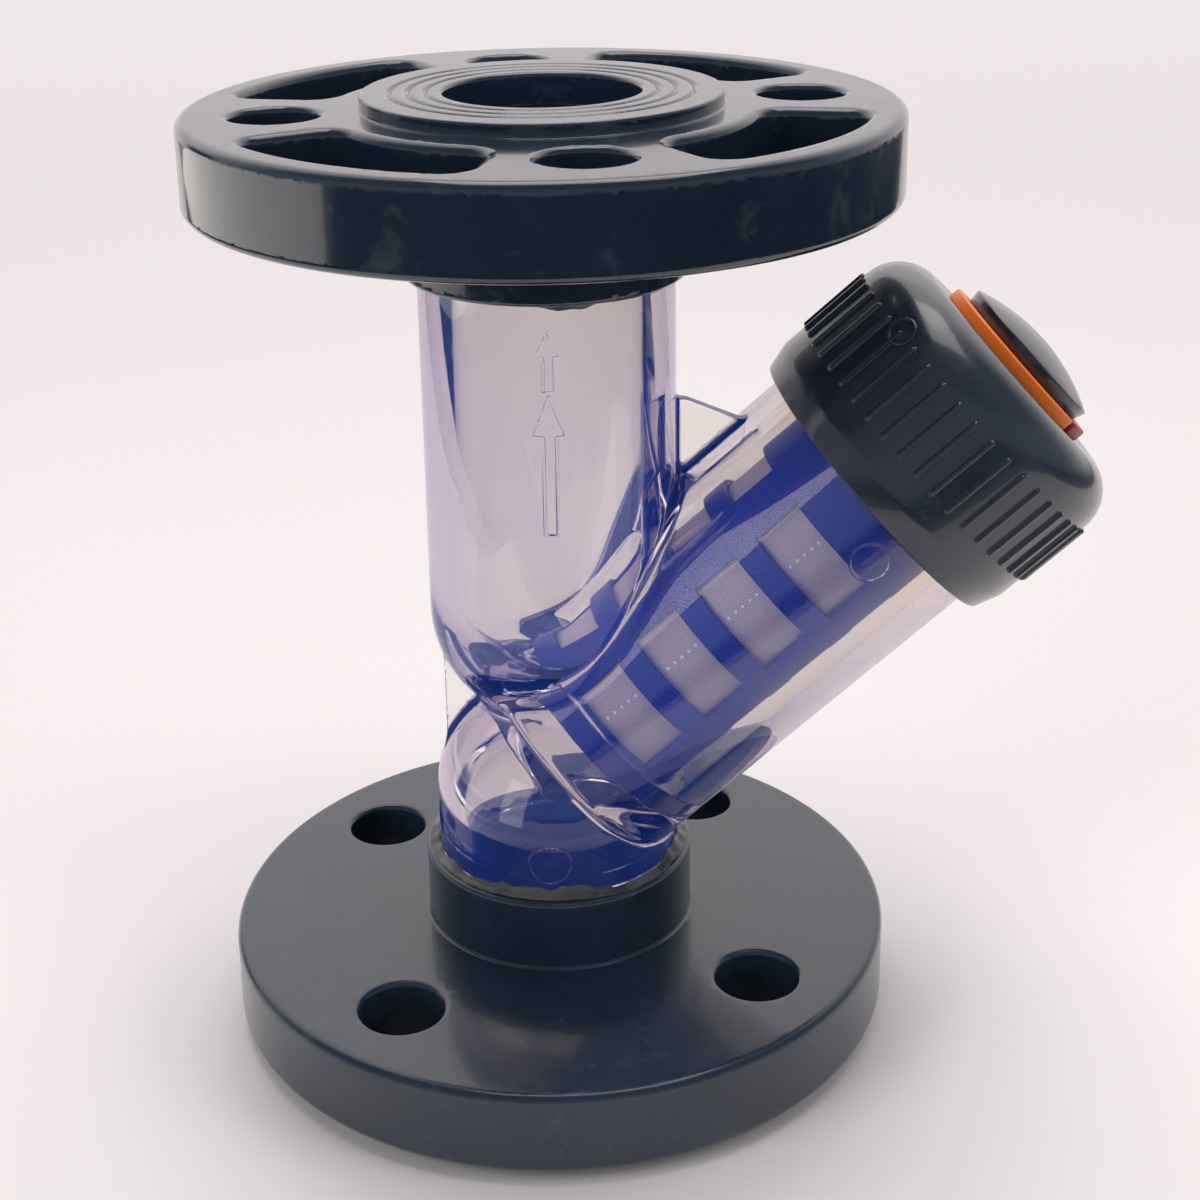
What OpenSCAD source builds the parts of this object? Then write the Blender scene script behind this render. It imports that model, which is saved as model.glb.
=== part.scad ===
// Clear plastic flanged Y-pattern basket strainer, DN 40.
// Frame: origin at the centre of the inlet sealing face, +Z along the run in the
// direction of flow, the branch leans towards +X and the XZ plane is its plane of symmetry.

/* [Flanges] */
// Outside diameter of each flange
flange_d = 150; // [146:1:165]
// Thickness of the flange plate
flange_t = 18.8; // [16:0.2:22]
// Diameter of the raised sealing face
face_d = 75.4; // [68:0.2:84]
// Height of the raised sealing face
face_h = 3; // [2:0.5:4]
// Pitch circle diameter of the bolt holes
bolt_pcd = 110; // [106:1:116]
// Diameter of the inlet flange's bolt holes
inlet_bolt_d = 18; // [14:0.2:19]
// Diameter of the outlet flange's bolt holes
outlet_bolt_d = 18.4; // [14:0.2:19]
// Outside diameter of the socket hub behind the plate
hub_d = 61; // [58:0.5:66]
// Height of the socket hub behind the plate
hub_h = 16.5; // [12:0.5:20]
// Turn of the inlet flange's bolt holes about the run
inlet_turn = 51; // [0:1:89]
// Turn of the outlet flange's bolt holes about the run
outlet_turn = 8; // [0:1:89]

/* [Body] */
// Distance between the two sealing faces
face_to_face = 212.4; // [208:0.2:230]
// Outside diameter of the run tube
run_d = 55; // [53:0.5:57]
// Diameter of the flow bore
bore_d = 41; // [36:0.5:42]
// Outside diameter of the pipe spigots and inside of the flange sockets
socket_d = 50; // [49:0.5:51]
// Angle between the run and the branch
branch_angle = 48.5; // [45:0.5:52]
// Height at which the branch axis crosses the run axis
cross_z = 60.7; // [58:0.1:64]
// Outside diameter of the branch tube
branch_d = 62; // [61:0.5:63]
// Bore of the branch tube around the basket
branch_bore_d = 51; // [50:0.5:52]

/* [Basket] */
// Outside diameter of the basket frame
basket_d = 43.5; // [42:0.5:44]
// Length of each window along the basket
window_len = 11.3; // [9:0.1:12]
// Pitch of the rows of windows
window_pitch = 17.4; // [16:0.1:17.8]
// Angle that one window spans
window_angle = 62.7; // [50:0.1:70]
// Rows of windows
window_rows = 4; // [2:1:4]
// Windows around the basket
window_columns = 4; // [3:1:5]

/* [Union nut] */
// Diameter over the grip ribs
nut_d = 73.8; // [73:0.1:76]
// Grip ribs around the nut
rib_count = 45; // [24:1:48]
// Lead of the thread
thread_pitch = 4; // [3.5:0.1:5]

/* [Hidden] */
$fn = 96;

eps = 0.02;
fit_gap = 0.05;             // clearance of glued and pushed joints, radial
cut = 5;                    // how far a cutting tool reaches past a face
flange_h = face_h + flange_t + hub_h;
socket_depth = 31;          // depth of the pipe socket from the hub's rim
edge_r = 2;                 // rounding of the flange plate's edges
fillet_r = 0.8;             // fillet at the root of the hub
groove_count = 3;
groove_pitch = 3.75;
groove_w = 1.5;
groove_depth = 0.6;
groove_first = 24;          // radius of the innermost serration groove
pocket_in = 46.5;           // kidney pocket: inner and outer radius, half angle, depth
pocket_out = 67;
pocket_half = 24.5;
pocket_depth = 13;
pocket_corner = 5;

shoulder_lo = flange_h + fit_gap;                  // body shoulders on the hub rims
shoulder_hi = face_to_face - flange_h - fit_gap;
spigot_lo = flange_h - socket_depth + 1;
spigot_hi = face_to_face - spigot_lo;
inlet_dome_z = 52.5;        // centres of the domed ends of the inlet and outlet tubes
outlet_dome_z = 98;
inlet_core_z = 48;          // the same for their bores, which leave a partition between them
outlet_core_z = 101;
web_t = 3.2;                // stiffening webs in the plane of symmetry
web_inset = 2.6;            // back web's edge inside the run's surface
web_overlap = 7;            // how far the back web reaches into the outlet tube's dome
crotch_web_outline = [[20, 115], [45, 139], [41.7, 139.6], [30, 144.5], [20, 146]];
arrow_proud = 0.35;         // raised flow arrows on the front of the run
arrow_line = 0.8;
long_arrow = [31.05, 9.2, 3.8, 1.7];               // length, head, half widths of head and shaft
short_arrow = [13.4, 5.8, 3.0, 1.5];
long_arrow_z = 123.85;
short_arrow_z = 155.1;

branch_start = 4;           // stations along the branch axis, from the crossing point
branch_round = 3.5;         // rounding of the branch's lower end
seat_s = 12;
seat_socket_s = 18;
seat_hole_s = -3;
seat_hole_d = 35;
seat_socket_d = basket_d + 0.8;
thread_relief_s = 98;
branch_end = 122.3;
thread_root_d = 60.4;       // thread on the branch
thread_crest_d = 63.8;
nut_minor_d = 61.6;         // thread in the nut
nut_major_d = 65.2;
thread_from = 101;
thread_turns = 4.5;
ridge_base = 2.2;           // width of the thread ridge at its root and at its crest
ridge_tip = 1.0;
steps_per_turn = 24;

nut_s = 94.6;
nut_len = 39.3;
nut_face_s = nut_s + nut_len;
nut_wall_s = 127.9;
nut_open_d = 37.4;
grip_d = nut_d - 1.6;
rib_w = 1.0;
rib_s = 106.5;
rib_len = 16.7;
rib_phase = -1.3;           // turn of the first rib from the plane of symmetry

nut_lip = 0.8;              // small edge breaks of the nut
nut_taper = 6;              // length of the taper at the nut's open end
nut_shoulder_r = 10.5;      // rounded shoulder
nut_shoulder_s = 124;
ridge_overlap = 0.4;        // how deep the thread ridges are rooted

bonnet_s = 97;
bonnet_skirt_d = 50.4;
bonnet_skirt_in = 44;
bonnet_flange_d = 64.4;
bonnet_flange_t = 5.2;
bonnet_plate_t = 2;         // plate that closes the bonnet's skirt
bonnet_core_d = 26;         // moulded-out core of the bonnet's stem
bonnet_core_h = 18;
neck_d = 36.6;
ring_groove_d = 33.8;
ring_s = nut_face_s + 0.1;
ring_t = 2.9;
ring_d = 41.2;
ring_play = 0.1;            // axial play of the ring in its groove
ring_gap_angle = -55;
ring_gap_w = 1.4;
head_d = 35.2;
head_top = 143.4;
head_bevel = 2.4;           // conical side of the domed head and its rim
head_rim = 0.4;
o_ring_s = 113.8;
o_ring_groove_w = 3.6;
o_ring_groove_d = 45.8;
o_ring_r = 1.27;

basket_wall = 1.6;
basket_top = 112;
first_window = 18.7;
window_turn = -97.65;       // direction of the first column's middle, about the branch axis
mesh_t = 0.3;
mesh_d = basket_d - 2 * basket_wall - 0.2;
mesh_from = 13;
mesh_to = 88;
weld_turn = -105.5;
weld_r = 0.35;
weld_h = 0.3;
weld_gap = 0.01;            // keeps the flat base of a weld clear of the round sleeve
welds_per_window = 5;
weld_pitch = 2;

// Points along an arc about (x, y), from angle a to angle b
function arc(x, y, r, a, b, n = 8) =
    [for (i = [0:n]) let (t = a + (b - a) * i / n) [x + r * cos(t), y + r * sin(t)]];

// Outline of a kidney pocket: a ring sector with rounded corners
function kidney(r0, r1, half, c) =
    let (k0 = asin(c / (r0 + c)), k1 = asin(c / (r1 - c)))
    concat(
        arc(0, 0, r1, -half + k1, half - k1, 24),
        [for (i = [1:5]) let (m = half - k1, t = m + i * 15)
            [(r1 - c) * cos(m) + c * cos(t), (r1 - c) * sin(m) + c * sin(t)]],
        [for (i = [0:5]) let (m = half - k0, t = m + 90 + i * 15)
            [(r0 + c) * cos(m) + c * cos(t), (r0 + c) * sin(m) + c * sin(t)]],
        arc(0, 0, r0, half - k0 - 1, -half + k0 + 1, 16),
        [for (i = [0:5]) let (m = -half + k0, t = m + 180 + 15 + i * 15)
            [(r0 + c) * cos(m) + c * cos(t), (r0 + c) * sin(m) + c * sin(t)]],
        [for (i = [1:5]) let (m = -half + k1, t = m - 90 + i * 15)
            [(r1 - c) * cos(m) + c * cos(t), (r1 - c) * sin(m) + c * sin(t)]]
    );

// Moves children from branch stations (local +Z) into the part's frame
module on_branch() {
    translate([0, 0, cross_z])
        rotate([0, branch_angle, 0])
            children();
}

// A plain tube along Z
module tube(d_out, d_in, z0, z1) {
    difference() {
        translate([0, 0, z0]) cylinder(d = d_out, h = z1 - z0);
        translate([0, 0, z0 - cut]) cylinder(d = d_in, h = z1 - z0 + 2 * cut);
    }
}

// Right-hand thread ridge about Z; r0 is its root (buried end) and r1 its crest
module thread_ridge(r0, r1, z0, turns) {
    count = round(turns * steps_per_turn);
    side = sign(r1 - r0);
    section = [[r0, -ridge_base / 2], [r1, -ridge_tip / 2], [r1, ridge_tip / 2], [r0, ridge_base / 2]];
    points = [for (i = [0:count]) for (q = section)
        let (a = 360 * i / steps_per_turn)
            [q[0] * cos(a), q[0] * sin(a), z0 + q[1] + thread_pitch * i / steps_per_turn]];
    walls = [for (i = [0:count - 1]) for (j = [0:3]) for (half = [0:1])
        let (a = 4 * i + j, b = 4 * i + (j + 1) % 4, c = b + 4, d = a + 4)
            half == 0 ? [a, b, c] : [a, c, d]];
    caps = [[3, 2, 1], [3, 1, 0], [4 * count, 4 * count + 1, 4 * count + 2],
            [4 * count, 4 * count + 2, 4 * count + 3]];
    faces = concat(walls, caps);
    polyhedron(points, side < 0 ? [for (f = faces) [f[2], f[1], f[0]]] : faces);
}

// A vertical tube with a domed end, as a solid of revolution
module domed_rod(r, z_open, z_dome) {
    up = z_dome > z_open ? 1 : -1;
    rotate_extrude()
        polygon(concat([[0, z_open], [r, z_open]],
            [for (i = [0:12]) [r * cos(i * 7.5), z_dome + up * r * sin(i * 7.5)]]));
}

// Flange, with its sealing face at z = 0 and its hub upwards
module flange(turn, bolt_d) {
    r = flange_d / 2;
    back = face_h + flange_t;
    grooves = [for (i = [groove_count - 1:-1:0])
        let (g = groove_first + i * groove_pitch)
            each [[g + groove_w / 2, 0], [g, groove_depth], [g - groove_w / 2, 0]]];
    outline = concat(
        [[bore_d / 2, 0], [bore_d / 2, flange_h - socket_depth],
         [socket_d / 2 + fit_gap, flange_h - socket_depth], [socket_d / 2 + fit_gap, flange_h],
         [hub_d / 2 - 0.8, flange_h], [hub_d / 2, flange_h - 0.8]],
        arc(hub_d / 2 + fillet_r, back + fillet_r, fillet_r, 180, 270, 5),
        arc(r - edge_r, back - edge_r, edge_r, 90, 0, 5),
        arc(r - edge_r, face_h + edge_r, edge_r, 0, -90, 5),
        [[face_d / 2 + 0.2, face_h], [face_d / 2, 0.6], [face_d / 2 - 0.6, 0]],
        grooves);
    rotate([0, 0, turn])
        difference() {
            rotate_extrude() polygon(outline);
            for (i = [0:3])
                rotate([0, 0, i * 90]) {
                    translate([bolt_pcd / 2, 0, -cut]) cylinder(d = bolt_d, h = flange_h + 2 * cut);
                    rotate([0, 0, 45])
                        translate([0, 0, -cut])
                            linear_extrude(face_h + pocket_depth + cut)
                                polygon(kidney(pocket_in, pocket_out, pocket_half, pocket_corner));
                }
        }
}

// Outline of an arrow of an overall length, drawn flat from the origin along +Y, and inset by a border
function arrow_outline(length, head, half_head, half_shaft, inset = 0) =
    let (slope = half_head / head, tip = inset * sqrt(1 + 1 / (slope * slope)),
         wing = half_head - inset - inset * (sqrt(1 + slope * slope) + slope - 1))
    [[-half_shaft + inset, inset], [half_shaft - inset, inset],
     [half_shaft - inset, length - head + inset], [wing, length - head + inset],
     [0, length - tip], [-wing, length - head + inset], [-half_shaft + inset, length - head + inset]];

module flow_arrow(size) {
    difference() {
        polygon(arrow_outline(size[0], size[1], size[2], size[3]));
        polygon(arrow_outline(size[0], size[1], size[2], size[3], arrow_line));
    }
}

// The clear Y-shaped body
module body() {
    color([0.86, 0.82, 0.86, 0.45])
        difference() {
            union() {
                domed_rod(run_d / 2, shoulder_lo, inlet_dome_z);
                domed_rod(run_d / 2, shoulder_hi, outlet_dome_z);
                translate([0, 0, spigot_lo])
                    cylinder(d = socket_d - 2 * fit_gap, h = shoulder_lo - spigot_lo + 1);
                translate([0, 0, shoulder_hi - 1])
                    cylinder(d = socket_d - 2 * fit_gap, h = spigot_hi - shoulder_hi + 1);
                branch_tube();
                back_web();
                crotch_web();
                body_arrows();
            }
            flow_passages();
        }
}

module branch_tube() {
    on_branch() {
        rotate_extrude()
            polygon(concat([[0, branch_start]],
                arc(branch_d / 2 - branch_round, branch_start + branch_round, branch_round, -90, 0, 6),
                [[branch_d / 2, thread_relief_s], [0, thread_relief_s]]));
        translate([0, 0, thread_relief_s - 1])
            cylinder(d = thread_root_d, h = branch_end - thread_relief_s + 1);
        translate([0, 0, thread_from])
            thread_ridge(thread_root_d / 2 - ridge_overlap, thread_crest_d / 2, 0, thread_turns);
    }
}

// Flat web across the notch between the two domed tube ends
module back_web() {
    edge = run_d / 2 - web_inset;
    width = 13;
    translate([-edge, -web_t / 2, inlet_dome_z + 1])
        cube([width, web_t, outlet_dome_z - inlet_dome_z - web_overlap - 1]);
}

// Flat web in the crotch between the run and the branch
module crotch_web() {
    translate([0, web_t / 2, 0])
        rotate([90, 0, 0])
            linear_extrude(web_t)
                polygon(crotch_web_outline);
}

// Places a flat arrow on the front of the run, with its tail at a height
module raised_on_run(tail_z) {
    intersection() {
        cylinder(d = run_d + 2 * arrow_proud, h = shoulder_hi - 1);
        rotate([90, 0, 0])
            translate([0, tail_z, 0])
                linear_extrude(run_d)
                    children();
    }
}

module body_arrows() {
    raised_on_run(long_arrow_z) flow_arrow(long_arrow);
    raised_on_run(short_arrow_z) flow_arrow(short_arrow);
}

module flow_passages() {
    domed_rod(bore_d / 2, spigot_lo - cut, inlet_core_z);
    domed_rod(bore_d / 2, spigot_hi + cut, outlet_core_z);
    on_branch() {
        translate([0, 0, seat_hole_s]) cylinder(d = seat_hole_d, h = seat_s - seat_hole_s + 1);
        translate([0, 0, seat_s]) cylinder(d = seat_socket_d, h = seat_socket_s - seat_s + 1);
        translate([0, 0, seat_socket_s]) cylinder(d = branch_bore_d, h = branch_end);
    }
}

module inlet_flange() {
    color([0.16, 0.19, 0.21]) flange(inlet_turn, inlet_bolt_d);
}

module outlet_flange() {
    color([0.16, 0.19, 0.21])
        translate([0, 0, face_to_face])
            mirror([0, 0, 1])
                flange(outlet_turn, outlet_bolt_d);
}

// Squeezed-out solvent cement around the body where it enters a hub
module cement_bead() {
    rotate_extrude()
        polygon([[run_d / 2 + fit_gap, fit_gap], [hub_d / 2 - 1, fit_gap],
                 [run_d / 2 + 0.9, 0.9], [run_d / 2 + fit_gap, 1.8]]);
}

module inlet_cement_bead() {
    color([0.55, 0.55, 0.56])
        translate([0, 0, flange_h]) cement_bead();
}

module outlet_cement_bead() {
    color([0.55, 0.55, 0.56])
        translate([0, 0, face_to_face - flange_h]) mirror([0, 0, 1]) cement_bead();
}

// Threaded union nut with grip ribs
module union_nut() {
    r = grip_d / 2;
    outline = concat(
        [[nut_major_d / 2, nut_s + nut_lip], [nut_major_d / 2 + nut_lip, nut_s],
         [r - 2 * nut_lip, nut_s], [r - 2 * nut_lip + 0.3, nut_s + nut_lip / 2],
         [r, nut_s + nut_taper]],
        arc(r - nut_shoulder_r, nut_shoulder_s, nut_shoulder_r, 0, 90, 12),
        [[ring_d / 2 + nut_lip, nut_face_s], [nut_open_d / 2 + nut_lip, nut_face_s],
         [nut_open_d / 2, nut_face_s - nut_lip],
         [nut_open_d / 2, nut_wall_s], [nut_major_d / 2, nut_wall_s]]);
    color([0.15, 0.18, 0.20])
        on_branch()
            union() {
                rotate_extrude() polygon(outline);
                translate([0, 0, thread_from + thread_pitch / 2])
                    thread_ridge(nut_major_d / 2 + ridge_overlap, nut_minor_d / 2, 0, thread_turns);
                for (i = [0:rib_count - 1])
                    rotate([0, 0, rib_phase + i * 360 / rib_count])
                        translate([r - 0.5, -rib_w / 2, rib_s])
                            cube([nut_d / 2 - r + 0.5, rib_w, rib_len]);
            }
}

// Plug with an O-ring groove, a shoulder under the nut, a neck and a domed head
module bonnet() {
    top = branch_end + 0.05;
    head_r = head_d / 2;
    neck_top = ring_s + ring_t + ring_play / 2;
    dome_s = neck_top + head_bevel + head_rim;
    groove_lo = o_ring_s - o_ring_groove_w / 2;
    outline = concat(
        [[0, top - bonnet_plate_t], [bonnet_skirt_in / 2, top - bonnet_plate_t],
         [bonnet_skirt_in / 2, bonnet_s],
         [bonnet_skirt_d / 2 - 0.8, bonnet_s], [bonnet_skirt_d / 2, bonnet_s + 2],
         [bonnet_skirt_d / 2, groove_lo], [o_ring_groove_d / 2, groove_lo],
         [o_ring_groove_d / 2, groove_lo + o_ring_groove_w],
         [bonnet_skirt_d / 2, groove_lo + o_ring_groove_w], [bonnet_skirt_d / 2, top],
         [bonnet_flange_d / 2, top], [bonnet_flange_d / 2, top + bonnet_flange_t],
         [neck_d / 2, top + bonnet_flange_t], [neck_d / 2, ring_s - ring_play],
         [ring_groove_d / 2, ring_s - ring_play], [ring_groove_d / 2, neck_top],
         [head_r, neck_top + head_bevel], [head_r, dome_s]],
        [for (i = [1:9]) let (t = i * 10)
            [head_r * cos(t), dome_s + (head_top - dome_s) * sin(t)]]);
    color([0.15, 0.18, 0.20])
        on_branch()
            difference() {
                rotate_extrude() polygon(outline);
                translate([0, 0, top - bonnet_plate_t - cut])
                    cylinder(d = bonnet_core_d, h = cut + bonnet_plate_t + bonnet_core_h);
            }
}

module bonnet_o_ring() {
    color([0.08, 0.08, 0.08])
        on_branch()
            translate([0, 0, o_ring_s])
                rotate_extrude()
                    translate([o_ring_groove_d / 2 + o_ring_r + 0.03, 0])
                        circle(r = o_ring_r, $fn = 32);
}

// Split ring that snaps into the bonnet's neck and holds the nut on it
module split_ring() {
    color([0.93, 0.40, 0.07])
        on_branch()
            difference() {
                tube(ring_d, ring_groove_d + 0.4, ring_s, ring_s + ring_t);
                rotate([0, 0, ring_gap_angle])
                    translate([10, -ring_gap_w / 2, ring_s - 1])
                        cube([20, ring_gap_w, ring_t + 2]);
            }
}

// One window cutter, centred on the local +X direction
module window() {
    half = window_angle / 2;
    reach = basket_d;
    linear_extrude(window_len)
        polygon([[0, 0], [reach * cos(half), -reach * sin(half)],
                 [reach * cos(half), reach * sin(half)]]);
}

// Moulded frame of the basket, open at both ends
module basket_frame() {
    color([0.10, 0.16, 0.62])
        on_branch()
            difference() {
                tube(basket_d, basket_d - 2 * basket_wall, seat_s + 0.1, basket_top);
                for (row = [0:window_rows - 1])
                    for (col = [0:window_columns - 1])
                        translate([0, 0, first_window + row * window_pitch])
                            rotate([0, 0, window_turn + col * 360 / window_columns])
                                window();
            }
}

// Fine mesh rolled into a sleeve inside the frame
module mesh_sleeve() {
    color([0.62, 0.58, 0.66])
        on_branch()
            tube(mesh_d, mesh_d - 2 * mesh_t, mesh_from, mesh_to);
}

// Spot welds along the mesh seam, seen through the windows
module mesh_seam_welds() {
    first = first_window + window_len / 2 - weld_pitch * (welds_per_window - 1) / 2;
    color([0.80, 0.78, 0.80])
        on_branch()
            for (row = [0:window_rows - 1])
                for (i = [0:welds_per_window - 1])
                    rotate([0, 0, weld_turn])
                        translate([mesh_d / 2 + weld_gap, 0, first + row * window_pitch + i * weld_pitch])
                            rotate([0, 90, 0])
                                cylinder(r = weld_r, h = weld_h, $fn = 16);
}

body();
inlet_flange();
outlet_flange();
inlet_cement_bead();
outlet_cement_bead();
union_nut();
bonnet();
bonnet_o_ring();
split_ring();
basket_frame();
mesh_sleeve();
mesh_seam_welds();
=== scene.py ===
import math

import bmesh
import bpy
import numpy as np
from mathutils import Matrix, Vector


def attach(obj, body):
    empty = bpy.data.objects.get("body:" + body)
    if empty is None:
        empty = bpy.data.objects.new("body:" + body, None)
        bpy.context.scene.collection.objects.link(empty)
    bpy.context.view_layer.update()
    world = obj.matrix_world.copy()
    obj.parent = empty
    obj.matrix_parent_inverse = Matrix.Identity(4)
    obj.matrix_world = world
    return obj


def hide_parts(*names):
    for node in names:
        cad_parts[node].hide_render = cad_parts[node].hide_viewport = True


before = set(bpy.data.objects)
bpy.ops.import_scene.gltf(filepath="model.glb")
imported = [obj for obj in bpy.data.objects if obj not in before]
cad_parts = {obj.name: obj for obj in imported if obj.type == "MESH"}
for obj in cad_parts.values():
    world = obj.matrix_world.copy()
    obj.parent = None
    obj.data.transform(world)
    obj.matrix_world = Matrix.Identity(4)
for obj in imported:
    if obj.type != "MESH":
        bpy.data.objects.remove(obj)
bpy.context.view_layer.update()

scene = bpy.context.scene

# Lengths are in millimetres until a mesh is made
MM = 0.001

# Flanges, with heights from the sealing face
FACE_TO_FACE = 212.4
FLANGE_R = 75.0
FACE_H = 3.0
PLATE_BACK = 21.8
FLANGE_H = 38.3
HUB_R = 30.5
FACE_R = 37.7
SOCKET_R = 25.05
SOCKET_Z = 7.3
BOLT_CIRCLE_R = 55.0
POCKET_MID_R = 56.75
POCKET_HALF_W = 10.25
POCKET_HALF_ANGLE = math.radians(24.5)
POCKET_FLOOR = 16.0
POCKET_CORNER_R = 5.0
POCKET_DRAFT = 0.05
GROOVES = (24.0, 27.75, 31.5)
GROOVE_DEPTH = 0.6
GROOVE_HALF_W = 0.75
INLET_TURN = math.radians(51)
INLET_BOLT_R = 9.0
OUTLET_TURN = math.radians(-8)
OUTLET_BOLT_R = 9.2

# Run of the body, along z from the inlet's sealing face
BORE_R = 20.5
RUN_R = 27.5
SPIGOT_R = 24.95
SHOULDER_LOW = 38.35
SHOULDER_HIGH = 174.05
SPIGOT_LOW = 8.3
INLET_DOME = 52.5
OUTLET_DOME = 98.0
INLET_CORE = 48.0
OUTLET_CORE = 101.0
INLET_FILLET = 1.6
OUTLET_FILLET = 3.0
WEB_HALF = 1.6
WEB_FILLET = 1.2
BACK_WEB_X = (-24.9, -12.0)
BACK_WEB_Z = (52.75, 91.75)
CROTCH_WEB = ((20, 115), (45, 139), (41.7, 139.6), (30, 144.5), (20, 146))

# Branch, in stations s along its axis from the point where it crosses the run's axis
CROSS_Z = 60.7
BRANCH_ANGLE = math.radians(48.5)
BRANCH_R = 31.0
BRANCH_BORE_R = 25.5
BRANCH_START = 4.0
BRANCH_ROUND = 3.5
BRANCH_END = 122.3
SEAT_S = 12.0
SEAT_TOP_S = 18.0
SEAT_R = 22.15
SEAT_HOLE_S = -3.0
SEAT_HOLE_R = 17.5
THREAD_S = 98.0
THREAD_ROOT_R = 30.2
THREAD_CREST_R = 31.9
THREAD_FROM = 101.0
PITCH = 4.0
TURNS = 4.5

# Basket and its mesh
BASKET_R = 21.75
BASKET_WALL = 1.6
BASKET_LOW = 12.1
BASKET_TOP = 112.0
WINDOW_FIRST = 18.7
WINDOW_PITCH = 17.4
WINDOW_LEN = 11.3
WINDOW_ANGLE = math.radians(62.7)
WINDOW_TURN = math.radians(-97.65)
BASKET_EDGE = 0.28
MESH_R = 20.05
MESH_T = 0.3
MESH_LOW = 13.0
MESH_TOP = 88.0
WIRE_PITCH = 0.55

# Union nut
NUT_S = 94.6
NUT_FACE_S = 133.9
NUT_WALL_S = 127.9
NUT_GRIP_R = 36.1
NUT_RIM_R = 34.4
NUT_MAJOR_R = 32.6
NUT_MINOR_R = 30.8
NUT_FLAT_R = 21.4
NUT_OPEN_R = 18.7
NUT_SHOULDER_S = 124.0
NUT_SHOULDER_R = 10.5
NUT_THREAD_S = 123.0
RIBS = 45
RIB_PHASE = math.radians(-1.3)
RIB_S = 106.5
RIB_LEN = 16.7
RIB_HALF = 0.5
RIB_PROUD = 0.8
NUT_MARK_S = 123.3
NUT_MARK_TURN = math.radians(-145.4)

# Split ring and bonnet
RING_S = 134.0
RING_T = 2.9
RING_IN_R = 17.15
RING_OUT_R = 20.6
RING_GAP_TURN = math.radians(-55)
RING_GAP_HALF = 0.7
HEAD_R = 17.6
HEAD_TOP_S = 143.4
NECK_R = 18.3
RING_SEAT_R = 16.9
COLLAR_R = 32.2
COLLAR_T = 5.2
SKIRT_R = 25.2
SKIRT_BORE_R = 22.0
SKIRT_LOW = 97.0
SEAL_GROOVE_R = 22.9
SEAL_GROOVE = (112.0, 115.6)
HOLLOW_R = 13.0
HOLLOW_TOP_S = 138.35


# ---------------------------------------------------------------- distance fields

def smooth_min(a, b, k):
    """Union with a fillet of radius k where the two surfaces meet."""
    return np.maximum(k, np.minimum(a, b)) - np.hypot(np.maximum(k - a, 0), np.maximum(k - b, 0))


def smooth_max(a, b, k):
    """Intersection with an edge rounded to radius k."""
    return np.minimum(-k, np.maximum(a, b)) + np.hypot(np.maximum(k + a, 0), np.maximum(k + b, 0))


def disc(r, z, radius, low, high, edge):
    """Solid cylinder about the axis with rounded edges."""
    qr = r - radius + edge
    qz = np.abs(z - (low + high) / 2) - (high - low) / 2 + edge
    return np.hypot(np.maximum(qr, 0), np.maximum(qz, 0)) + np.minimum(np.maximum(qr, qz), 0) - edge


def polygon_distance(u, v, outline):
    """Distance to a flat polygon, negative inside."""
    best = np.full(u.shape, 1e9)
    inside = np.zeros(u.shape, bool)
    for (x0, y0), (x1, y1) in zip(outline, outline[1:] + outline[:1]):
        dx, dy = x1 - x0, y1 - y0
        t = np.clip(((u - x0) * dx + (v - y0) * dy) / (dx * dx + dy * dy), 0, 1)
        best = np.minimum(best, (u - x0 - t * dx) ** 2 + (v - y0 - t * dy) ** 2)
        if dy != 0:
            crosses = ((y0 > v) != (y1 > v)) & (u < (v - y0) * dx / dy + x0)
            inside ^= crosses
    return np.where(inside, -1, 1) * np.sqrt(best)


def branch_coordinates(x, z):
    """Station along the branch axis and the offset across it, in the plane of symmetry."""
    ca, sa = math.cos(BRANCH_ANGLE), math.sin(BRANCH_ANGLE)
    return x * sa + (z - CROSS_Z) * ca, x * ca - (z - CROSS_Z) * sa


def thread_field(u, y, s):
    """The right-hand helical ridge round the branch's end, 1 wide at its crest and 2.2 at its root."""
    turn = np.arctan2(y, u) / (2 * math.pi) % 1.0
    lap = np.clip(np.round((s - THREAD_FROM) / PITCH - turn), 0, TURNS - turn)
    lap = np.floor(lap + 1e-6)
    off = np.abs(s - THREAD_FROM - PITCH * (turn + lap))
    rise = np.hypot(u, y) - THREAD_ROOT_R
    height = THREAD_CREST_R - THREAD_ROOT_R
    flank = (off + 0.6 * (rise / height - 1) - 0.5) / 1.05
    return smooth_max(smooth_max(flank, rise - height, 0.25), -rise - 1.2, 0.1)


def arrow(length, head, half_head, half_shaft, base):
    """Outline (x, z) of a flow arrow that stands on height `base`."""
    tip = base + length
    neck = tip - head
    return [(-half_shaft, base), (half_shaft, base), (half_shaft, neck), (half_head, neck),
            (0.0, tip), (-half_head, neck), (-half_shaft, neck)]


ARROWS = (arrow(30.4, 8.8, 3.4, 1.35, 124.2), arrow(12.8, 5.4, 2.6, 1.15, 155.4))

# Round marks: distance along the tube, offset across it, radius
BRANCH_MARK = (87.1, 0.7, 4.2)
INLET_MARK = (46.2, -2.0, 4.6)

# Half width and height of the raised lines
ARROW_LINE = (0.3, 0.32)
MARK_LINE = (0.2, 0.1)


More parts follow.
